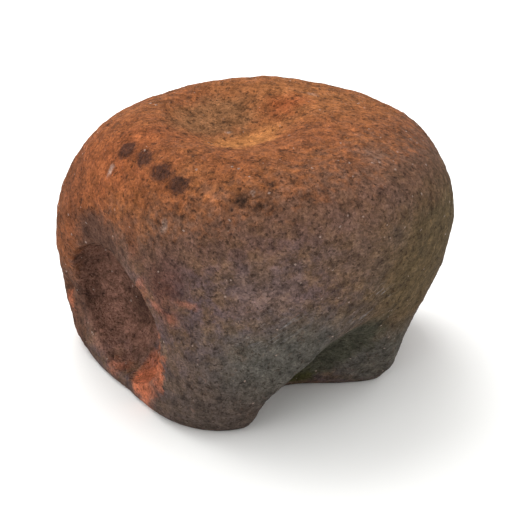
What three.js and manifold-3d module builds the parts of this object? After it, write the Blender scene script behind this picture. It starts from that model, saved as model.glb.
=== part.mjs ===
// A nutting stone: a water-worn cobble of iron-stained sandstone with hollows pecked and ground into its faces,
// each to hold a nut while it is cracked. It is one piece of stone.
// Millimetres, +Z up, front towards -Y. The origin is under the middle of the stone, on the face it rests on.

import * as THREE from "three";
import { mergeVertices } from "three/addons/utils/BufferGeometryUtils.js";
import Module from "manifold-3d";

// The size over all of the cobble, before any hollow is made in it.
const LENGTH = 127.5;
const DEPTH = 99.9;
const HEIGHT = 92.8;

// The hollow in the top: how wide its ground dish is, and how deep.
const TOP_DISH_ACROSS = 58;
const TOP_DISH_DEPTH = 8.5;

// The left hollow: the pecked cup, the wide dish that it lies in, and the wear of its outer lip.
const LEFT_CUP_ACROSS = 47;
const LEFT_CUP_DEPTH = 13;
const LEFT_DISH_ACROSS = 74;
const LEFT_DISH_DEPTH = 8;
const LIP_WEAR_ACROSS = 46;
const LIP_WEAR_DEPTH = 3.5;

// The long hollow on the right: its deep lower dish, and the shallower one at its upper end.
const RIGHT_DISH_ACROSS = 52;
const RIGHT_DISH_DEPTH = 13;
const RIGHT_END_ACROSS = 46;
const RIGHT_END_DEPTH = 6.5;

// The proportions of the cobble, which has its ground at height 0. They are stretched to the size over all, so
// only how they stand to each other counts. The worn faces are measured from the heart of the stone, which lies
// a little right of the middle.
const HEART = new THREE.Vector3(6, -6, 42);

// How squarely the worn faces meet: 2 is a ball, and a higher number is nearer to a block.
const SQUARENESS = 4.5;
// The worn faces of the cobble. "turn" is the way that a face looks, in degrees from the front towards the right,
// "rise" is its tilt above level, and "away" is how far it lies from the heart, before the faces round into
// each other.
const WORN_FACES = [
  { name: "top", turn: 90, rise: 86, away: 49 },
  { name: "underside", turn: 0, rise: -90, away: 50 },
  { name: "front", turn: -4, rise: -2, away: 46 },
  { name: "front right", turn: 36, rise: -14, away: 43 },
  { name: "left front", turn: -53, rise: 0, away: 49 },
  { name: "lower right", turn: 60, rise: -36, away: 45 },
  { name: "right end", turn: 93, rise: 8, away: 65 },
  { name: "left end", turn: -96, rise: 1, away: 84 },
  { name: "back", turn: 180, rise: -5, away: 55 },
  { name: "back left", turn: -125, rise: 25, away: 70 },
  { name: "back right", turn: 120, rise: 20, away: 86 },
];

// The swellings of the surface. "turn" and "rise" are the way to each from the heart, "spread" is how far it
// reaches round the stone, in degrees, and "height" is how far it stands out, or lies in where it is below 0.
const SWELLINGS = [
  { name: "right foot", turn: 76, rise: -50, spread: 22, height: 10.5 },
  { name: "left bulge", turn: -102, rise: 8, spread: 32, height: 8 },
  { name: "worn back shoulder", turn: 146, rise: 50, spread: 18, height: -2.5 },
];

// The hollows. "middle" is the middle of each mouth in the proportions above, and "turn" and "rise" are the way
// that it opens. The "dish" is the ground and rubbed part, with a soft edge. The "cup" is the pecked part, with a
// firm edge: its "fullness" is 2 for a round bowl, and higher for one with an upright wall and a flatter floor.
const HOLLOWS = [
  {
    name: "top",
    middle: [-5.5, 1, 86],
    turn: 0,
    rise: 90,
    dish: { across: TOP_DISH_ACROSS, depth: TOP_DISH_DEPTH, softness: 1.8 },
  },
  {
    name: "left",
    middle: [-39.5, -12.5, 29.5],
    turn: -51,
    rise: 0,
    dish: { across: LEFT_DISH_ACROSS, depth: LEFT_DISH_DEPTH, softness: 2 },
    cup: { across: LEFT_CUP_ACROSS, depth: LEFT_CUP_DEPTH, fullness: 2.3 },
  },
  {
    name: "worn lip of the left",
    middle: [-54, 6, 20],
    turn: -65,
    rise: -5,
    dish: { across: LIP_WEAR_ACROSS, depth: LIP_WEAR_DEPTH, softness: 1.5 },
  },
  {
    name: "right",
    middle: [19, -22, 8],
    turn: 54,
    rise: -34,
    dish: { across: RIGHT_DISH_ACROSS, depth: RIGHT_DISH_DEPTH, softness: 1.3 },
  },
  {
    name: "upper end of the right",
    middle: [30, -25, 20],
    turn: 54,
    rise: -34,
    dish: { across: RIGHT_END_ACROSS, depth: RIGHT_END_DEPTH, softness: 1.5 },
  },
];

// How finely the solid is faceted.
const COBBLE_DETAIL = 18;
const CUP_SIDES = 40;
const CUP_RINGS = 8;

const { Manifold, Mesh } = await loadSolids();

async function loadSolids() {
  const wasm = await Module();
  wasm.setup();
  return wasm;
}

// The unit vector of a turn from the front towards the right and a rise above level, in degrees.
function direction({ turn, rise }) {
  const a = THREE.MathUtils.degToRad(turn);
  const e = THREE.MathUtils.degToRad(rise);
  return new THREE.Vector3(Math.sin(a) * Math.cos(e), -Math.cos(a) * Math.cos(e), Math.sin(e));
}

const FACES = WORN_FACES.map((face) => ({ looks: direction(face), away: face.away }));
const SWELLS = SWELLINGS.map((swelling) => ({ ...swelling, way: direction(swelling) }));
const SURFACE = wornSurface();
const STRETCH = stretchToSize(SURFACE);
const MOUTHS = HOLLOWS.map((hollow) => ({
  ...hollow,
  middle: new THREE.Vector3(...hollow.middle).multiply(STRETCH),
  opens: direction(hollow),
}));

// A closed mesh as a solid that can be cut.
function solidOf(geometry) {
  const bare = geometry.clone();
  bare.deleteAttribute("normal");
  bare.deleteAttribute("uv");
  const merged = mergeVertices(bare, 1e-4);
  return new Manifold(
    new Mesh({
      numProp: 3,
      vertProperties: merged.attributes.position.array,
      triVerts: new Uint32Array(merged.index.array),
    }),
  );
}

// A solid as a three.js geometry.
function geometryOf(solid) {
  const mesh = solid.getMesh();
  const geometry = new THREE.BufferGeometry();
  geometry.setAttribute("position", new THREE.BufferAttribute(new Float32Array(mesh.vertProperties), 3));
  geometry.setIndex(new THREE.BufferAttribute(new Uint32Array(mesh.triVerts), 1));
  geometry.computeVertexNormals();
  return geometry;
}

// How far the worn surface lies from the heart along a unit vector: the worn faces rounded into each other,
// and their swellings on top.
function reachAlong(way) {
  let sum = 0;
  for (const { looks, away } of FACES) {
    const facing = way.dot(looks) / away;
    if (facing > 0) sum += facing ** SQUARENESS;
  }
  let reach = sum ** (-1 / SQUARENESS);
  for (const swell of SWELLS) {
    const off = THREE.MathUtils.radToDeg(way.angleTo(swell.way)) / swell.spread;
    reach += swell.height * Math.exp(-off * off);
  }
  return reach;
}

// The worn surface of the whole cobble in its own proportions.
function wornSurface() {
  const ball = new THREE.IcosahedronGeometry(1, COBBLE_DETAIL);
  const place = ball.attributes.position;
  const way = new THREE.Vector3();
  for (let i = 0; i < place.count; i++) {
    way.fromBufferAttribute(place, i).normalize();
    const point = way.clone().multiplyScalar(reachAlong(way)).add(HEART);
    place.setXYZ(i, point.x, point.y, point.z);
  }
  return ball;
}

// What the proportions are multiplied by along X, Y and Z to give the size over all. The height is taken from
// the ground, because the stone is worn flat there.
function stretchToSize(surface) {
  surface.computeBoundingBox();
  const { min, max } = surface.boundingBox;
  return new THREE.Vector3(LENGTH / (max.x - min.x), DEPTH / (max.y - min.y), HEIGHT / max.z);
}

// A point of the worn surface, sunk into the dish of each hollow that it lies in.
function sunkIntoDishes(point) {
  const sunk = point.clone();
  for (const { dish, middle, opens } of MOUTHS) {
    const from = point.clone().sub(middle);
    const height = from.dot(opens);
    const off = from.addScaledVector(opens, -height).length() / (dish.across / 2);
    if (off < 1 && height > -dish.across / 2) {
      sunk.addScaledVector(opens, -dish.depth * (1 - off * off) ** dish.softness);
    }
  }
  return sunk;
}

// The whole cobble at its full size, with its dishes.
function cobbleSolid() {
  const cobble = SURFACE.clone().scale(STRETCH.x, STRETCH.y, STRETCH.z);
  const place = cobble.attributes.position;
  for (let i = 0; i < place.count; i++) {
    const point = sunkIntoDishes(new THREE.Vector3().fromBufferAttribute(place, i));
    place.setXYZ(i, point.x, point.y, point.z);
  }
  return solidOf(cobble);
}

// The bowl that a hollow's pecked cup takes out of the stone. It stands out past the mouth by its own width.
function cupSolid({ cup, middle, opens }) {
  const profile = [new THREE.Vector2(0, -cup.depth)];
  for (let i = 1; i <= CUP_RINGS; i++) {
    const t = (i / CUP_RINGS) * (Math.PI / 2);
    const out = (cup.across / 2) * Math.sin(t) ** (2 / cup.fullness);
    const down = cup.depth * Math.cos(t) ** (2 / cup.fullness);
    profile.push(new THREE.Vector2(out, -down));
  }
  profile.push(new THREE.Vector2(cup.across / 2, cup.across));
  profile.push(new THREE.Vector2(0, cup.across));
  const bowl = new THREE.LatheGeometry(profile, CUP_SIDES);
  bowl.applyQuaternion(new THREE.Quaternion().setFromUnitVectors(new THREE.Vector3(0, 1, 0), opens));
  bowl.translate(middle.x, middle.y, middle.z);
  return solidOf(bowl);
}

// The block that is worn away from under the cobble, leaving the flat that it rests on.
function undersideBlock() {
  const block = new THREE.BoxGeometry(2 * LENGTH, 2 * DEPTH, 2 * HEIGHT);
  block.translate(0, 0, -HEIGHT);
  return solidOf(block);
}

function nuttingStone() {
  let stone = cobbleSolid().subtract(undersideBlock());
  for (const mouth of MOUTHS) {
    if (mouth.cup) stone = stone.subtract(cupSolid(mouth));
  }
  const geometry = geometryOf(stone);
  geometry.computeBoundingBox();
  const { min, max } = geometry.boundingBox;
  geometry.translate(-(min.x + max.x) / 2, -(min.y + max.y) / 2, -min.z);
  const sandstone = new THREE.MeshStandardMaterial({ color: 0x6b4a38, roughness: 0.85, metalness: 0 });
  const mesh = new THREE.Mesh(geometry, sandstone);
  mesh.name = "nutting_stone";
  return mesh;
}

const part = new THREE.Group();
part.add(nuttingStone());

export default part;
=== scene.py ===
"""A nutting stone: a water-worn cobble of iron-stained sandstone, with hollows that nuts were cracked in.

The file is laid out as an add-on and is run as a script. The stone's own sizes and places are in
millimetres, and the stage's are in metres."""

import math

import bpy
import numpy as np
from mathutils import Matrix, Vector


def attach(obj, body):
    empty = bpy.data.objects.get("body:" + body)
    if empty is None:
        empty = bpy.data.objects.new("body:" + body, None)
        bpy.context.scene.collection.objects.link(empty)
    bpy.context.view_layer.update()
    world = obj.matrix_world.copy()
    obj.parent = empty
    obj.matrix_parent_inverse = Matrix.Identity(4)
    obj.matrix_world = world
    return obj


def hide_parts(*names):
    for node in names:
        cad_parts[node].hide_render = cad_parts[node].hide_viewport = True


bl_info = {
    "name": "Nutting stone",
    "version": (1, 0, 0),
    "blender": (4, 5, 0),
    "location": "View3D > Sidebar > Nutting stone",
    "description": "Builds a nutting stone and the stage that it is shown on",
    "category": "Object",
}

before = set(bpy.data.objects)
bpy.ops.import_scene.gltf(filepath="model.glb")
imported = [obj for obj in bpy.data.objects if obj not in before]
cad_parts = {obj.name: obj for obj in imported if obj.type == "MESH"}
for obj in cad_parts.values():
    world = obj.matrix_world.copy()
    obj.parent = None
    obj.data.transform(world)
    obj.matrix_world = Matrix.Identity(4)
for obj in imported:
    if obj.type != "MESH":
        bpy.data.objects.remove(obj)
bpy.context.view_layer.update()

MM = 0.001


def linear(hex_colour):
    """The linear colour of an sRGB hex value such as "7a5c4a"."""
    channels = [int(hex_colour[i : i + 2], 16) / 255 for i in (0, 2, 4)]
    return [c / 12.92 if c <= 0.04045 else ((c + 0.055) / 1.055) ** 2.4 for c in channels]


def size_in_mm(name, description, default):
    """A size of the stone's skin, in millimetres."""
    return bpy.props.FloatProperty(
        name=name, description=description, default=default, min=0.0, precision=2
    )


def colour(name, description, hex_colour):
    """A colour that can be picked, from its sRGB hex value."""
    return bpy.props.FloatVectorProperty(
        name=name,
        description=description,
        subtype="COLOR",
        size=3,
        min=0.0,
        max=1.0,
        default=linear(hex_colour),
    )


class StoneSizes(bpy.types.PropertyGroup):
    """How the stone's skin is meshed, and the relief that water, wear and pecking left on it."""

    mesh: size_in_mm("Mesh", "Side of one face of the skin", 0.8)
    softening: bpy.props.IntProperty(
        name="Softening",
        description="Passes that round the rims of the hollows and the foot",
        default=6,
        min=0,
    )
    swell_size: size_in_mm("Swell size", "How far apart the broad swells of the worn surface are", 15.0)
    swell_depth: size_in_mm("Swell depth", "Height of the broad swells", 1.4)
    lump_size: size_in_mm("Lump size", "How far apart the small lumps are", 5.0)
    lump_depth: size_in_mm("Lump depth", "Height of the small lumps", 0.6)
    pit_size: size_in_mm("Pit size", "How far apart the weathered pits are", 1.8)
    pit_depth: size_in_mm("Pit depth", "Depth of the weathered pits", 0.45)
    peck_size: size_in_mm("Peck size", "How far apart the peck marks in the hollows are", 3.2)
    peck_depth: size_in_mm("Peck depth", "Depth of the peck marks in the hollows", 0.6)
    grain: size_in_mm("Grain", "Width of a sand grain, drawn a little coarse so that it shows", 0.6)


class StoneColours(bpy.types.PropertyGroup):
    """The colours of the stone and of what has stained it, and the colours that paint shade and light on it.
    """

    body: colour("Body", "Purple-brown of the bare sandstone", "5c4b4a")
    body_light: colour("Lighter body", "Warm brown in the mottled front", "6a5241")
    russet: colour("Russet", "Red-brown below the edge of the iron stain", "6c4c3b")
    plum: colour("Plum", "Purple-brown patches under the iron stain", "4b3b3d")
    pale: colour("Pale body", "Pinkish grey in the middle of the front", "6e5a54")
    # Grey-brown of the lower front, darkened as painted shade, so that the stone grows darker towards the
    # bottom.
    foot: colour("Foot", "Grey-brown of the lower front", "4d433d")
    slate: colour("Slate", "Cool grey-brown of the lower right front", "504e48")
    olive: colour("Olive", "Olive-brown of the right end", "584932")
    iron: colour("Iron stain", "Orange-brown stain of the top and the left", "945b35")
    iron_red: colour("Red iron stain", "Redder clouds in the stain", "8e4d2c")
    iron_dark: colour("Dark iron stain", "Red-brown specks and patches in the stain", "683d28")
    # This golden colour is a real stain at the far top, and painted light on the near side of the top
    # hollow, which faces the light.
    gold: colour("Golden stain", "Golden stain in the near side of the top hollow", "aa7040")
    # Olive-brown darkened into painted shade, for the far side of the top hollow, which faces away from the
    # light.
    dish: colour("Top hollow", "Olive-brown of the painted shade on the far side of the top hollow", "80583a")
    # This dark brown is painted shade in the saucer over the left cup, on the cup's floor and in its upper
    # end, and a plain dark brown on the cup's outer lip.
    shade: colour("Hollow", "Dark brown soil and wear in the hollows", "523a30")
    wear: colour("Worn floor", "Brown of the rubbed floor of the left cup", "7a584b")
    # A green-grey colour, darkened into painted shade for the deep part of the right hollow, which lies out
    # of the light.
    green_grey_and_shade: colour("Green-grey", "Green-grey green-grey and painted shade in the right hollow", "424136")
    ochre: colour("Ochre", "Dark ochre in the foot of the right hollow", "3f3d21")
    rust: colour("Rust", "Bright rust at the lip of the left cup", "bb6c4c")
    ink: colour("Faded ink", "Faded ink", "3a2823")
    quartz: colour("Quartz", "Pale grains and scratches", "a58d80")
    # This dark colour is also painted shade in the deepest part of the left cup.
    pore: colour("Pore", "Dark pores between the grains", "2b201a")
    streak: colour("Streaks", "Blue-grey scratches on the lower front", "7a7674")


class StageSettings(bpy.types.PropertyGroup):
    """The floor, the lights and the camera."""

    floor: colour("Floor", "Plain pale floor", "fafaf8")
    floor_side: bpy.props.FloatProperty(
        name="Floor side", description="Side of the square floor", default=8.0, unit="LENGTH"
    )
    sky: bpy.props.FloatProperty(
        name="Sky", description="Strength of the even light all round", default=1.05
    )
    key: bpy.props.FloatProperty(
        name="Key light",
        description="Power of the soft light above and behind",
        default=7.5,
        unit="POWER",
    )
    fill: bpy.props.FloatProperty(
        name="Fill light",
        description="Power of the soft light at the front left",
        default=1.5,
        unit="POWER",
    )
    target: bpy.props.FloatVectorProperty(
        name="Target",
        description="The point that the camera looks at",
        default=(0.001, 0.0, 0.042),
        unit="LENGTH",
    )
    elevation: bpy.props.FloatProperty(
        name="Elevation",
        description="The camera's height above level",
        default=math.radians(30),
        unit="ROTATION",
    )
    distance: bpy.props.FloatProperty(
        name="Distance", description="From the camera to the target", default=0.65, unit="LENGTH"
    )
    lens: bpy.props.FloatProperty(
        name="Lens", description="Focal length of the camera", default=144.0, unit="CAMERA"
    )


def select_only(piece):
    """Makes this the one selected object, and the active one."""
    bpy.ops.object.select_all(action="DESELECT")
    piece.select_set(True)
    bpy.context.view_layer.objects.active = piece


def apply_modifier(piece, kind, name, **settings):
    """Adds a modifier to the active object, sets it up and applies it."""
    bpy.ops.object.modifier_add(type=kind)
    made = piece.modifiers[-1]
    made.name = name
    for setting, value in settings.items():
        setattr(made, setting, value)
    bpy.ops.object.modifier_apply(modifier=name)


def add_node(tree, kind, inputs=None, **settings):
    """Adds a shader node with its settings. An input takes a value, or the output that is linked to it."""
    made = tree.nodes.new(kind)
    for setting, value in settings.items():
        setattr(made, setting, value)
    for socket, value in (inputs or {}).items():
        if isinstance(value, bpy.types.NodeSocket):
            tree.links.new(value, made.inputs[socket])
        else:
            made.inputs[socket].default_value = value
    return made


# Corners of the solid's faces that lie nearer than this to each other are one corner, in millimetres.
MERGE_WITHIN = 0.01

# The relief begins a little above the ground, so that the flat that the stone stands on stays flat, and
# grows to its full depth over the next few millimetres.
RELIEF_BEGINS = 0.6
RELIEF_GROWS_OVER = 4.0

# The hollows as the skin sees them, in millimetres: the middle and the half-sizes of the ellipsoid that
# holds each, for the peck marks in it.
HOLLOWS = {
    "left cup": ((-43, -10, 29), (20, 20, 26)),
    "right hollow": ((20, -26, 14), (20, 16, 20)),
    "top hollow": ((-5, 3, 86), (27, 27, 8)),
}

# How fast the peck marks fade in from the edge of a hollow: they are at full depth a third of the way in.
PECKS_FADE_IN = 3

# Single marks in the skin: what each is, its middle, how wide and how deep it is, in millimetres. A mark
# with a depth below 0 stands out.
MARKS = [
    ("saucer over the cup", (-48, -17, 60), 22, 2.2),
    ("saucer over the cup", (-44, -22, 65), 14, 0.8),
    ("crack over the cup", (-50.5, -13, 54.5), 3.2, 0.9),
    ("crack over the cup", (-48, -16.5, 54.5), 3.2, 1.1),
    ("crack over the cup", (-45.3, -20, 55), 3.2, 0.9),
    ("crack over the cup", (-43, -23, 55.5), 3, 0.6),
    ("lip above the crack", (-48, -17, 58), 6, -0.5),
    ("step in the cup's outer rim", (-60, 12, 24), 6, 1.8),
    ("lump under that step", (-59, 11, 18), 6, -0.9),
    ("nick in the cup's outer rim", (-61, 9, 30), 4, 0.8),
    ("pit on the top front", (-3.5, -44, 85.5), 4, 0.7),
    ("pit on the top front", (2, -45.5, 84.5), 2.5, 0.5),
    ("pit by the top hollow", (9, -22, 91), 3, 0.4),
    ("pit below the stain", (-18, -43, 72), 4, 0.5),
    ("pit beside the cup", (-27, -37, 60), 4, 0.6),
    ("notch at the foot of the cup", (-42, -15, 3), 5, 1.2),
]


def weigh(piece, name, weight_of):
    """Gives the piece a vertex group whose weight at each point, in millimetres, is weight_of that point."""
    group = piece.vertex_groups.new(name=name)
    for vertex in piece.data.vertices:
        weight = weight_of(vertex.co / MM)
        if weight > 0:
            group.add([vertex.index], weight, "REPLACE")


def off_the_ground(point):
    """0 on the underside, and 1 where the relief has its full depth."""
    return min(1.0, max(0.0, (point.z - RELIEF_BEGINS) / RELIEF_GROWS_OVER))


def in_a_hollow(point):
    """1 in the middle of a hollow and 0 outside it, for the peck marks."""
    most = 0.0
    for middle, half in HOLLOWS.values():
        off = Vector((point - Vector(middle))[i] / half[i] for i in range(3)).length
        most = max(most, min(1.0, max(0.0, (1 - off) * PECKS_FADE_IN)))
    return most * off_the_ground(point)


def press_marks(piece):
    """Presses the single marks into the skin, each with a soft edge."""
    count = len(piece.data.vertices)
    places = np.empty(count * 3)
    normals = np.empty(count * 3)
    piece.data.vertices.foreach_get("co", places)
    piece.data.vertices.foreach_get("normal", normals)
    places, normals = places.reshape(-1, 3), normals.reshape(-1, 3)
    for _, middle, across, depth in MARKS:
        off = np.linalg.norm(places / MM - middle, axis=1) / (across / 2)
        places -= normals * (depth * MM * np.exp(-(off**2)))[:, None]
    piece.data.vertices.foreach_set("co", places.ravel())
    piece.data.update()


def relief(piece, name, kind, group, size, depth):
    """Raises and sinks the skin by a pattern of that size and depth, where the vertex group is."""
    pattern = bpy.data.textures.new(name, kind)
    pattern.noise_scale = size * MM
    apply_modifier(
        piece,
        "DISPLACE",
        name,
        texture=pattern,
        texture_coords="LOCAL",
        vertex_group=group,
        strength=depth * MM,
        mid_level=0.5,
    )


# The stains under the iron and over it, with the patches of painted shade and light among them, from the
# first laid down to the last: what each is, its colour, its strength, the middle and the half-sizes of the
# ellipsoid that it fills, in millimetres, the turn of that ellipsoid in degrees, and the share of its
# half-size over which it fades out.
UNDER_STAINS = [
    # Grey-brown, and painted shade that darkens the stone towards the bottom.
    ("grey foot and painted shade", "foot", 0.9, (0, -40, 8), (60, 40, 40), (0, 0, 0), 0.8),
    ("olive right end", "olive", 0.95, (66, -20, 50), (56, 60, 60), (0, 0, 0), 0.7),
    ("browner front right", "body_light", 0.6, (30, -44, 70), (26, 14, 22), (0, 0, 0), 0.9),
    ("plum under the stain", "plum", 0.95, (-25, -39, 58), (15, 13, 17), (0, 0, 0), 0.8),
    ("pale middle of the front", "pale", 0.7, (4, -48, 58), (18, 14, 16), (0, 0, 0), 0.9),
    ("reddish left front", "iron_dark", 0.5, (-27, -38, 50), (12, 12, 18), (0, 0, 0), 0.9),
    ("slate lower right front", "slate", 0.9, (12, -45, 32), (38, 24, 26), (0, 0, 0), 0.8),
    ("cool grey lobe", "slate", 0.85, (40, -12, 12), (26, 26, 20), (0, 0, 0), 0.7),
]
OVER_STAINS = [
    ("red iron on the upper left", "iron_red", 0.6, (-42, -14, 84), (34, 30, 16), (0, 0, 0), 0.9),
    ("red iron on the left", "iron_red", 0.55, (-58, -8, 72), (20, 30, 24), (0, 0, 0), 0.9),
    ("dark iron on the left", "iron_dark", 0.65, (-62, 0, 62), (22, 40, 32), (0, 0, 0), 0.8),
    ("iron beside the cup", "iron_dark", 0.55, (-36.5, -30.5, 66), (6, 6, 13), (0, -14, 0), 0.8),
    # Painted shade: the saucer over the cup lies out of the light.
    ("painted shade in the saucer over the cup", "shade", 0.9, (-48, -17, 57), (16, 10, 12), (0, 0, -53), 0.5),
    ("wear in the left cup", "wear", 0.95, (-43, -4, 28), (20, 21, 25), (0, 0, 0), 0.3),
    # Painted shade on the floor, the upper end and the deepest part of the left cup, where the hollow lies
    # out of the light.
    ("painted shade on the cup's floor", "shade", 0.85, (-33, 0, 30), (9, 10, 22), (0, 0, 0), 0.7),
    ("painted shade in the cup's upper end", "shade", 0.4, (-50, 4, 38), (15, 16, 16), (0, 0, 0), 0.7),
    ("shade in the deepest part of the cup", "pore", 0.45, (-37, 2, 30), (7, 9, 18), (0, 0, 0), 0.9),
    ("brown outer lip", "shade", 0.8, (-60, 11, 18), (14, 18, 26), (0, 0, 0), 0.6),
    ("rust on the outer lip", "rust", 0.7, (-59, 12, 19), (4, 5, 4), (0, 0, 0), 0.8),
    ("rust in the foot of the cup", "rust", 0.4, (-43, -8.5, 6), (6, 5, 4), (0, 0, 0), 0.9),
    ("rust at the cup's foot", "rust", 0.95, (-33, -20, 10), (9, 14, 10), (0, 0, 0), 0.5),
    ("rust on the cup's rim", "rust", 0.9, (-29, -32, 24), (4, 6, 15), (0, 0, 0), 0.6),
    ("rust on the cup's rim", "rust", 0.25, (-34, -31, 46), (2.5, 4, 12), (0, 12, 0), 0.6),
    # Green-grey, and painted shade for the deep part of the right hollow beyond its near rim.
    ("green-grey and painted shade in the right hollow", "green_grey_and_shade", 0.95, (24, -26, 20), (26, 30, 13), (0, -38, 0), 0.35),
    ("ochre in the right hollow", "ochre", 0.9, (15, -15, 6), (7, 8, 7), (0, 0, 0), 0.7),
    ("golden iron at the far top", "gold", 0.3, (20, 20, 90), (50, 30, 14), (0, 0, 0), 0.9),
    # Painted shade: the far side of the top hollow faces away from the light.
    ("painted shade on the far side of the top hollow", "dish", 0.95, (-13, 8, 87), (23, 13, 9), (0, 0, 40), 0.6),
    ("red over the top hollow", "iron_red", 0.9, (10, 14, 88), (12, 9, 9), (0, 0, 20), 0.9),
    # Painted light: the near side of the top hollow faces the light.
    ("painted light on the near side of the top hollow", "gold", 0.9, (-3, -6, 86), (21, 10.5, 9), (0, 0, 42), 0.7),
]

# Small spots and flecks on the skin, in the same terms.
SPOTS = [
    ("rust branch beside the cup", "rust", 0.25, (-19, -43.5, 50.5), (7, 4, 2), (0, 0, 0), 0.9),
    ("rust branch beside the cup", "rust", 0.25, (-29, -36, 45), (5, 5, 2), (0, 30, 0), 0.9),
    ("rust branch beside the cup", "rust", 0.25, (-24.5, -40, 43), (4, 4, 3), (0, 0, 0), 0.9),
    ("dark spot on the top front", "pore", 0.9, (-3.6, -43.8, 85.6), (3.6, 3, 2.6), (0, 0, 0), 0.8),
    ("dark spot on the top front", "pore", 0.85, (2, -45.3, 84.7), (2, 2, 2), (0, 0, 0), 0.8),
    ("dark spot by the top hollow", "pore", 0.6, (9.3, -22, 91.3), (2.6, 2.2, 2), (0, 0, 0), 0.8),
    ("dark spot below the stain", "pore", 0.5, (-22, -39, 81), (2.4, 2, 2), (0, 0, 0), 0.9),
    ("dark spot beside the cup", "pore", 0.5, (-27, -37, 60), (2.5, 2.5, 3), (0, 0, 0), 0.9),
    ("pale fleck on the left", "quartz", 0.7, (-42.6, -16.4, 81), (1.8, 1.8, 3.4), (0, 15, 0), 0.9),
    ("pale fleck over the cup", "quartz", 0.6, (-25.8, -38.4, 74.5), (1.6, 1.8, 3), (0, 15, 0), 0.9),
    ("pale fleck in the top hollow", "quartz", 0.6, (-7.3, 3.2, 84), (1.6, 1.2, 2), (0, 0, 0), 0.9),
    ("pale fleck on the top front", "quartz", 0.5, (0, -42.3, 87.4), (1.4, 1.4, 1.4), (0, 0, 0), 0.9),
    ("pale patch on the right", "quartz", 0.2, (36, -20, 88), (6, 7, 4), (0, 0, 0), 0.9),
    ("pale fleck at the back", "quartz", 0.5, (18, 22.6, 87), (4.5, 2, 2), (0, 0, 0), 0.9),
]

# The bluish scratches on the lower front: the middle and the half-sizes of each patch of them, in
# millimetres, the turn of a patch and of a scratch, in degrees, and how much longer than its pattern a
# scratch is drawn.
SCRATCHED = [
    ((7, -48, 44), (15, 10, 8)),
    ((37, -35, 45), (13, 10, 9)),
]
SCRATCHED_TURN = (0, -30, 0)
SCRATCH_TURN = (0, -35, 0)
SCRATCH_STRETCH = (7, 2, 1)

# The faded ink of an old mark, as four smudges: the middle and the half-sizes of each, in millimetres.
SMUDGES = [
    ((-37.4, -15.2, 87.2), (5.0, 3.6, 3.6)),
    ((-32, -22, 88.3), (4.0, 4.8, 3.6)),
    ((-26.9, -29.6, 87.4), (4.8, 4.8, 3.8)),
    ((-21.4, -35.3, 86.4), (5.0, 4.2, 3.8)),
]

# The ways that the iron stain faces, and how far along each way it begins and is whole, in millimetres. A
# brown fringe lies below the edge of the stain on the top.
TOWARDS_TOP = (-0.3, 0.35, 1.0)
TOWARDS_LEFT = (-1.0, 0.3, 0.15)
FRINGE = (46, 66)
TOP_STAIN = (60, 80)
LEFT_STAIN = (54, 66)

# The noise patterns in the skin: the size of each in millimetres, how many finer layers it has and how rough
# they are, and the two values of the noise that become 0 and 1.
PATTERNS = {
    "warm patches": (6, 5, 0.7, 0.4, 0.6),
    "edge of the iron": (2.2, 4, 0.5, 0.35, 0.65),
    "red clouds": (16, 2, 0.5, 0.42, 0.6),
    "dark specks": (3, 5, 0.7, 0.42, 0.68),
    "scratches": (1.2, 2, 0.5, 0.56, 0.64),
    "wear of the ink": (1.0, 3, 0.5, 0.2, 0.45),
    "mottling": (4, 6, 0.8, 0.34, 0.66),
    "pores": (1.3, 3, 0.6, 0.58, 0.66),
}

# A grain is quartz where its random number is above this, which is one grain in 400.
QUARTZ_ABOVE = 0.9975

# How far the grains stand out of the skin, in millimetres.
GRAIN_RELIEF = 0.6


def patch_mask(tree, place, middle, half, turn, fade):
    """1 inside an ellipsoid and 0 outside it, fading over that outer share of its half-size."""
    inside = add_node(
        tree,
        "ShaderNodeMapping",
        {"Vector": place, "Location": middle, "Rotation": [math.radians(a) for a in turn], "Scale": half},
        vector_type="TEXTURE",
    )
    off = add_node(tree, "ShaderNodeVectorMath", {0: inside.outputs[0]}, operation="LENGTH")
    return add_node(
        tree,
        "ShaderNodeMapRange",
        {"Value": off.outputs["Value"], "From Min": 1.0, "From Max": 1.0 - fade},
        interpolation_type="SMOOTHSTEP",
    ).outputs["Result"]


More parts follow.
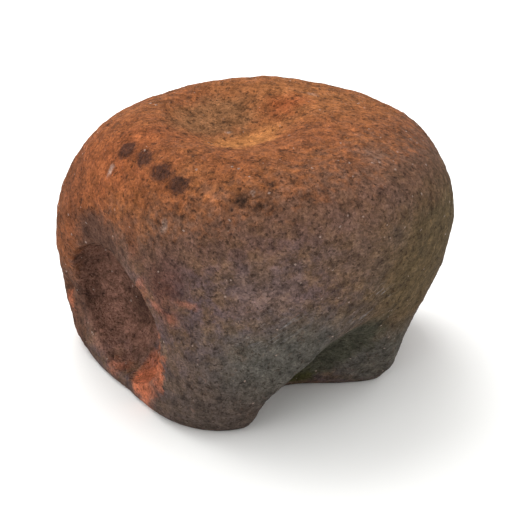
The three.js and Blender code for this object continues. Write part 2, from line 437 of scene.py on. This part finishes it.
def weathered_sandstone(colours, sizes):
    """Fine sandstone, rolled by water and stained by iron: matte and mottled, with pores and pale grains."""
    material = bpy.data.materials.new("weathered sandstone")
    material.use_nodes = True
    tree = material.node_tree
    tree.nodes.clear()
    where = add_node(tree, "ShaderNodeTexCoord").outputs["Object"]
    place = add_node(tree, "ShaderNodeVectorMath", {0: where, "Scale": 1 / MM}, operation="SCALE").outputs[0]

    def tint(name):
        """One of the stone's colours, with full alpha."""
        return (*getattr(colours, name), 1.0)

    def pattern(name, vector=place):
        """One of the noise patterns, from 0 to 1."""
        size, layers, roughness, low, high = PATTERNS[name]
        noise = add_node(
            tree,
            "ShaderNodeTexNoise",
            {"Vector": vector, "Scale": 1 / size, "Detail": layers, "Roughness": roughness},
        )
        return add_node(
            tree, "ShaderNodeMapRange", {"Value": noise.outputs["Fac"], "From Min": low, "From Max": high}
        ).outputs["Result"]

    def wandering(size, reach):
        """The place, read up to half the reach off it, by a noise of that size. Both are in millimetres."""
        drift = add_node(
            tree, "ShaderNodeTexNoise", {"Vector": place, "Scale": 1 / size, "Detail": 5.0, "Roughness": 0.7}
        )
        centred = add_node(
            tree,
            "ShaderNodeVectorMath",
            {0: drift.outputs["Color"], 1: (0.5, 0.5, 0.5)},
            operation="SUBTRACT",
        )
        return add_node(
            tree,
            "ShaderNodeVectorMath",
            {0: centred.outputs[0], 1: (reach, reach, reach), 2: place},
            operation="MULTIPLY_ADD",
        ).outputs[0]

    # The edges of the stains wander, because water carried them. The spots and the ink end among the grains.
    ragged = wandering(size=7, reach=14)
    crumbled = wandering(size=2, reach=4)

    def facing(way, begins, whole):
        """A stain's mask along a direction: 0 before it begins, and 1 from where it is whole."""
        along = add_node(tree, "ShaderNodeVectorMath", {0: ragged, 1: way}, operation="DOT_PRODUCT")
        return add_node(
            tree,
            "ShaderNodeMapRange",
            {"Value": along.outputs["Value"], "From Min": begins, "From Max": whole},
        ).outputs["Result"]

    def lay_over(under, top, *masks, strength=1.0):
        """A colour laid over another at that strength, where all its masks are."""
        share = strength
        for mask in masks:
            share = add_node(tree, "ShaderNodeMath", {0: mask, 1: share}, operation="MULTIPLY").outputs[0]
        return add_node(tree, "ShaderNodeMix", {0: share, 6: under, 7: top}, data_type="RGBA").outputs[2]

    def lay_patches(under, patches, vector):
        """A list of stains, spots or patches of painted shade and light laid over a colour, one after
        another.
        """
        for _, hue, strength, middle, half, turn, fade in patches:
            mask = patch_mask(tree, vector, middle, half, turn, fade)
            under = lay_over(under, tint(hue), mask, strength=strength)
        return under

    # The bare stone is mottled in cloudy patches of a few millimetres, warm brown in purple-brown.
    skin = lay_over(tint("body"), tint("body_light"), pattern("warm patches"))
    skin = lay_patches(skin, UNDER_STAINS, ragged)

    # The iron stain lies on the top and the left. It ends in warm brown, and breaks up in small spots there.
    skin = lay_over(skin, tint("russet"), facing(TOWARDS_TOP, *FRINGE), strength=0.9)
    stained = add_node(
        tree,
        "ShaderNodeMath",
        {0: facing(TOWARDS_TOP, *TOP_STAIN), 1: facing(TOWARDS_LEFT, *LEFT_STAIN)},
        operation="MAXIMUM",
    )
    broken_up = add_node(
        tree,
        "ShaderNodeMath",
        {0: pattern("edge of the iron"), 1: 0.5, 2: stained.outputs[0]},
        operation="MULTIPLY_ADD",
    )
    iron_mask = add_node(
        tree, "ShaderNodeMapRange", {"Value": broken_up.outputs[0], "From Min": 0.45, "From Max": 1.25}
    )
    iron = lay_over(tint("iron"), tint("iron_red"), pattern("red clouds"), strength=0.35)
    iron = lay_over(iron, tint("iron_dark"), pattern("dark specks"), strength=0.75)
    skin = lay_over(skin, iron, iron_mask.outputs["Result"], strength=0.92)
    skin = lay_patches(skin, OVER_STAINS, ragged)

    # Something hard once scratched the lower front in short, slanting, bluish lines.
    slanted = add_node(
        tree,
        "ShaderNodeMapping",
        {"Vector": place, "Rotation": [math.radians(a) for a in SCRATCH_TURN], "Scale": SCRATCH_STRETCH},
        vector_type="TEXTURE",
    )
    scratches = pattern("scratches", vector=slanted.outputs[0])
    for middle, half in SCRATCHED:
        mask = patch_mask(tree, ragged, middle, half, SCRATCHED_TURN, 0.9)
        skin = lay_over(skin, tint("streak"), mask, scratches, strength=0.75)

    skin = lay_patches(skin, SPOTS, crumbled)

    # The ink has soaked into the stone and worn, so the grains show through it.
    worn = pattern("wear of the ink")
    for middle, half in SMUDGES:
        mask = patch_mask(tree, crumbled, middle, half, (0, 0, 0), 0.5)
        skin = lay_over(skin, tint("ink"), mask, worn, strength=0.85)

    # Sand grains: each cell of the pattern is one grain, a little lighter or darker than the next. The
    # mottling runs through all sizes, from the grains to patches of a few millimetres.
    grains = add_node(tree, "ShaderNodeTexVoronoi", {"Vector": place, "Scale": 1 / sizes.grain})
    chance = add_node(tree, "ShaderNodeSeparateColor", {0: grains.outputs["Color"]})
    mottling = pattern("mottling")
    clouds = add_node(tree, "ShaderNodeMapRange", {"Value": mottling, "To Min": 0.5, "To Max": 1.75})
    shades = add_node(
        tree, "ShaderNodeMapRange", {"Value": chance.outputs[0], "To Min": 0.74, "To Max": 1.26}
    )
    lightness = add_node(
        tree,
        "ShaderNodeMath",
        {0: clouds.outputs["Result"], 1: shades.outputs["Result"]},
        operation="MULTIPLY",
    )
    skin = add_node(
        tree, "ShaderNodeHueSaturation", {"Color": skin, "Value": lightness.outputs[0]}
    ).outputs[0]

    # A few grains are clear quartz, which look pale and shine a little. Dark pores lie between the grains.
    quartz = add_node(
        tree, "ShaderNodeMath", {0: chance.outputs[1], 1: QUARTZ_ABOVE}, operation="GREATER_THAN"
    ).outputs[0]
    skin = lay_over(skin, tint("quartz"), quartz, strength=0.7)
    pores = pattern("pores")
    skin = lay_over(skin, tint("pore"), pores, strength=0.6)

    # The grains stand out a little, and the pores sink in.
    rounded = add_node(
        tree,
        "ShaderNodeMath",
        {0: grains.outputs["Distance"], 1: -0.5, 2: mottling},
        operation="MULTIPLY_ADD",
    )
    surface = add_node(
        tree, "ShaderNodeMath", {0: pores, 1: -0.5, 2: rounded.outputs[0]}, operation="MULTIPLY_ADD"
    )
    bump = add_node(
        tree, "ShaderNodeBump", {"Height": surface.outputs[0], "Distance": GRAIN_RELIEF * MM}
    )

    # Weathered sandstone is rough all over and has next to no sheen.
    roughness = add_node(tree, "ShaderNodeMapRange", {"Value": quartz, "To Min": 0.9, "To Max": 0.4})
    shader = add_node(
        tree,
        "ShaderNodeBsdfPrincipled",
        {
            "Base Color": skin,
            "Roughness": roughness.outputs["Result"],
            "Normal": bump.outputs["Normal"],
            "Specular IOR Level": 0.08,
        },
    )
    add_node(tree, "ShaderNodeOutputMaterial", {"Surface": shader.outputs[0]})
    return material


class NUTTING_OT_stone(bpy.types.Operator):
    """Builds the stone: the solid's own form with the relief of its skin and its stains"""

    bl_idname = "nutting_stone.stone"
    bl_label = "Stone"

    def execute(self, context):
        sizes = context.scene.nutting_stone_sizes
        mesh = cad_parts["nutting_stone"].data.copy()
        mesh.name = "stone_skin"
        mesh.materials.clear()
        piece = bpy.data.objects.new("stone_skin", mesh)
        context.scene.collection.objects.link(piece)
        select_only(piece)
        bpy.ops.object.mode_set(mode="EDIT")
        bpy.ops.mesh.select_all(action="SELECT")
        bpy.ops.mesh.remove_doubles(threshold=MERGE_WITHIN * MM)
        bpy.ops.mesh.normals_make_consistent(inside=False)
        bpy.ops.object.mode_set(mode="OBJECT")
        apply_modifier(piece, "REMESH", "fine skin", mode="VOXEL", voxel_size=sizes.mesh * MM)
        apply_modifier(piece, "SMOOTH", "worn rims", factor=0.5, iterations=sizes.softening)
        weigh(piece, "skin", off_the_ground)
        weigh(piece, "pecked", in_a_hollow)
        press_marks(piece)
        relief(piece, "swells", "CLOUDS", "skin", sizes.swell_size, sizes.swell_depth)
        relief(piece, "lumps", "CLOUDS", "skin", sizes.lump_size, sizes.lump_depth)
        relief(piece, "peck marks", "VORONOI", "pecked", sizes.peck_size, sizes.peck_depth)
        relief(piece, "pits", "CLOUDS", "skin", sizes.pit_size, sizes.pit_depth)
        piece.vertex_groups.clear()
        bpy.ops.object.shade_smooth()
        piece.data.materials.append(weathered_sandstone(context.scene.nutting_stone_colours, sizes))
        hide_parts("nutting_stone")
        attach(piece, "root")
        return {"FINISHED"}


# The stage's lights, in metres: the point that they face, and the place and the side of each soft square.
LIT_POINT = (0, 0, 0.04)
KEY_PLACE = (-0.3, 0.4, 0.85)
KEY_SIDE = 0.9
FILL_PLACE = (-0.6, -0.7, 0.5)
FILL_SIDE = 0.6

# How rough the floor's matte paint is.
FLOOR_ROUGHNESS = 0.9


def plain_material(name, colour_value, roughness):
    """A matte paint of one colour, for the stage."""
    material = bpy.data.materials.new(name)
    material.use_nodes = True
    shader = material.node_tree.nodes["Principled BSDF"]
    shader.inputs["Base Color"].default_value = (*colour_value, 1.0)
    shader.inputs["Roughness"].default_value = roughness
    return material


def soft_light(name, place, power, side):
    """A square soft light that faces the stone."""
    place = Vector(place)
    turn = (Vector(LIT_POINT) - place).to_track_quat("-Z", "Y").to_euler()
    bpy.ops.object.light_add(type="AREA", location=place, rotation=turn)
    light = bpy.context.active_object
    light.name = name
    light.data.energy = power
    light.data.size = side


class NUTTING_OT_stage(bpy.types.Operator):
    """Sets the plain pale floor, the soft lights and the camera"""

    bl_idname = "nutting_stone.stage"
    bl_label = "Stage"

    def execute(self, context):
        settings = context.scene.nutting_stone_stage
        bpy.ops.object.select_all(action="DESELECT")
        bpy.ops.mesh.primitive_plane_add(size=settings.floor_side)
        floor = context.active_object
        floor.name = "floor"
        floor.data.materials.append(plain_material("pale matte paint", settings.floor, FLOOR_ROUGHNESS))
        soft_light("key light", KEY_PLACE, settings.key, KEY_SIDE)
        soft_light("fill light", FILL_PLACE, settings.fill, FILL_SIDE)
        world = bpy.data.worlds.new("soft studio")
        world.use_nodes = True
        background = world.node_tree.nodes["Background"]
        background.inputs["Color"].default_value = (1.0, 1.0, 1.0, 1.0)
        background.inputs["Strength"].default_value = settings.sky
        context.scene.world = world
        target = Vector(settings.target)
        back = Vector((0, -math.cos(settings.elevation), math.sin(settings.elevation)))
        turn = (-back).to_track_quat("-Z", "Y").to_euler()
        bpy.ops.object.camera_add(location=target + back * settings.distance, rotation=turn)
        camera = context.active_object
        camera.name = "photo camera"
        camera.data.lens = settings.lens
        context.scene.camera = camera
        # The photograph's white is plain white, which the default view turns grey.
        context.scene.view_settings.view_transform = "Standard"
        return {"FINISHED"}


class NUTTING_PT_panel(bpy.types.Panel):
    """Lists the stone's sizes and colours, and the steps that build it"""

    bl_idname = "NUTTING_PT_panel"
    bl_label = "Nutting stone"
    bl_space_type = "VIEW_3D"
    bl_region_type = "UI"
    bl_category = "Nutting stone"

    def draw(self, context):
        scene = context.scene
        for title, group, step in (
            ("Skin", scene.nutting_stone_sizes, "nutting_stone.stone"),
            ("Colours", scene.nutting_stone_colours, None),
            ("Stage", scene.nutting_stone_stage, "nutting_stone.stage"),
        ):
            box = self.layout.box()
            box.label(text=title)
            for name in group.__annotations__:
                box.prop(group, name)
            if step:
                box.operator(step)


CLASSES = (StoneSizes, StoneColours, StageSettings, NUTTING_OT_stone, NUTTING_OT_stage, NUTTING_PT_panel)


def register():
    for each in CLASSES:
        bpy.utils.register_class(each)
    bpy.types.Scene.nutting_stone_sizes = bpy.props.PointerProperty(type=StoneSizes)
    bpy.types.Scene.nutting_stone_colours = bpy.props.PointerProperty(type=StoneColours)
    bpy.types.Scene.nutting_stone_stage = bpy.props.PointerProperty(type=StageSettings)


def unregister():
    del bpy.types.Scene.nutting_stone_stage
    del bpy.types.Scene.nutting_stone_colours
    del bpy.types.Scene.nutting_stone_sizes
    for each in reversed(CLASSES):
        bpy.utils.unregister_class(each)


def main():
    """Builds the stone and its stage."""
    register()
    bpy.ops.nutting_stone.stone()
    bpy.ops.nutting_stone.stage()


if __name__ == "__main__":
    main()
